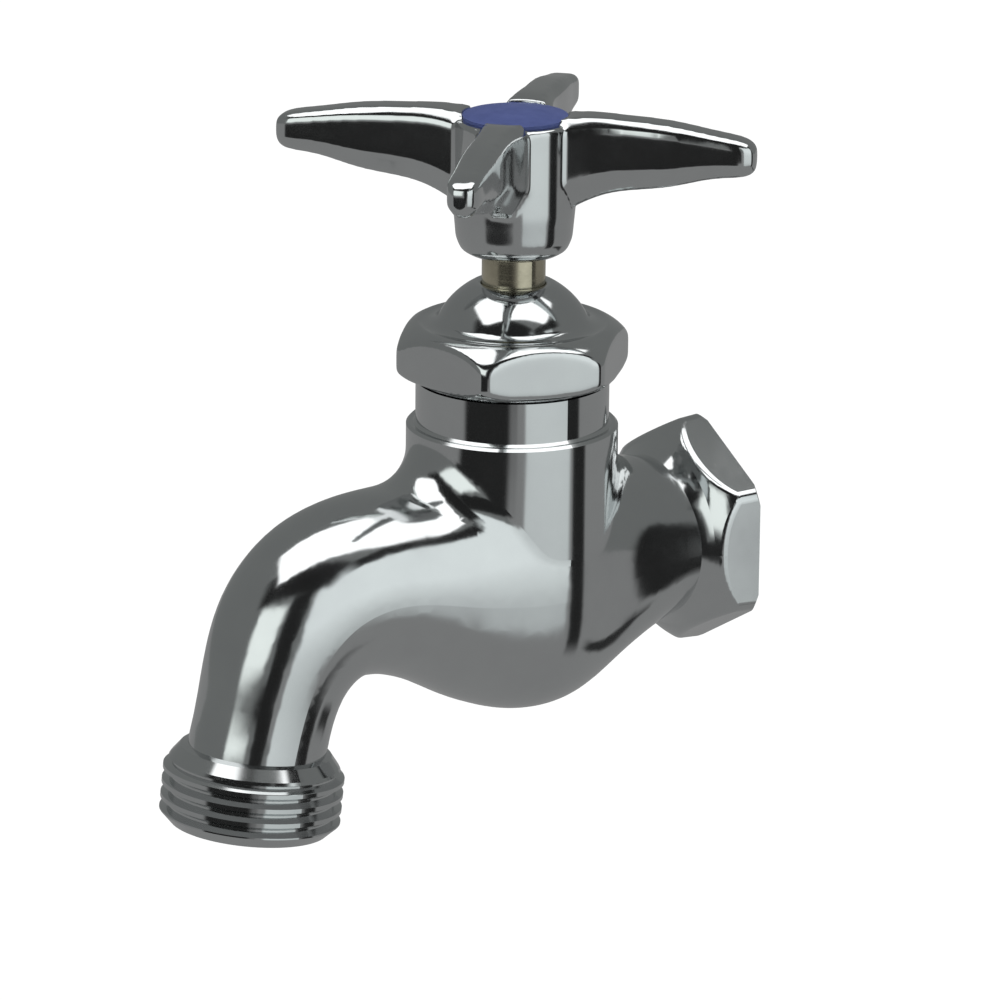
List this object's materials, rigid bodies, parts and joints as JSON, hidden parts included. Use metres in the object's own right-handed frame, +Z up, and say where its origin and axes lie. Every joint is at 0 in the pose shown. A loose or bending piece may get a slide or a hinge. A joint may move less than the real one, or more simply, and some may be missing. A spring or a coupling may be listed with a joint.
{
  "type": "hose bib",
  "caption": "Chrome-plated compression tap with a female pipe inlet, curved spout with hose thread and a cross handle on a rising stem.",
  "frame": {"origin": "centre of the inlet mouth, on the inlet boss's end face", "axes": "+Y out of the inlet towards the supply pipe, +Z up along the stem, the spout towards -Y, X across"},
  "size_m": [0.0546, 0.0948, 0.1043],
  "materials": {
    "chrome_body": "polished chrome plate on a brass casting",
    "chrome_nut": "polished chrome plate on brass",
    "chrome_handle": "polished chrome plate on a zinc die casting",
    "brass": "machined brass",
    "stem_brass": "turned brass, dulled",
    "steel": "plain stainless steel",
    "rubber": "moulded rubber",
    "fibre": "pressed vulcanised fibre",
    "packing": "graphited fibre packing",
    "blue_plastic": "moulded blue plastic"
  },
  "bodies": {
    "housing": {"faucet_body": "chrome_body", "valve_seat": "brass", "stem_barrel": "brass", "barrel_gasket": "fibre", "packing_washer": "brass", "packing_ring_lower": "packing", "packing_ring_middle": "packing", "packing_ring_upper": "packing", "gland_ring": "brass", "bonnet_nut": "chrome_nut"},
    "washer_carrier": {"washer_retainer": "brass", "seat_washer": "rubber", "washer_screw": "brass"},
    "stem_and_handle": {"stem": "stem_brass", "handle": "chrome_handle", "handle_lock_washer": "steel", "handle_screw": "steel", "index_button": "blue_plastic"}
  },
  "joints": [
    {"name": "stem_rise", "type": "slide", "parent": "housing", "child": "washer_carrier", "axis": [0, 0, 1], "range_m": [0, 0.00635]},
    {"name": "handle_turn", "type": "hinge", "parent": "washer_carrier", "child": "stem_and_handle", "pos_m": [0, -0.035, 0.05], "axis": [0, 0, 1], "range_deg": [0, 720]}
  ],
  "couplings": [
    {"joint": "handle_turn", "follows": "stem_rise", "rad_per_m": 1979}
  ]
}
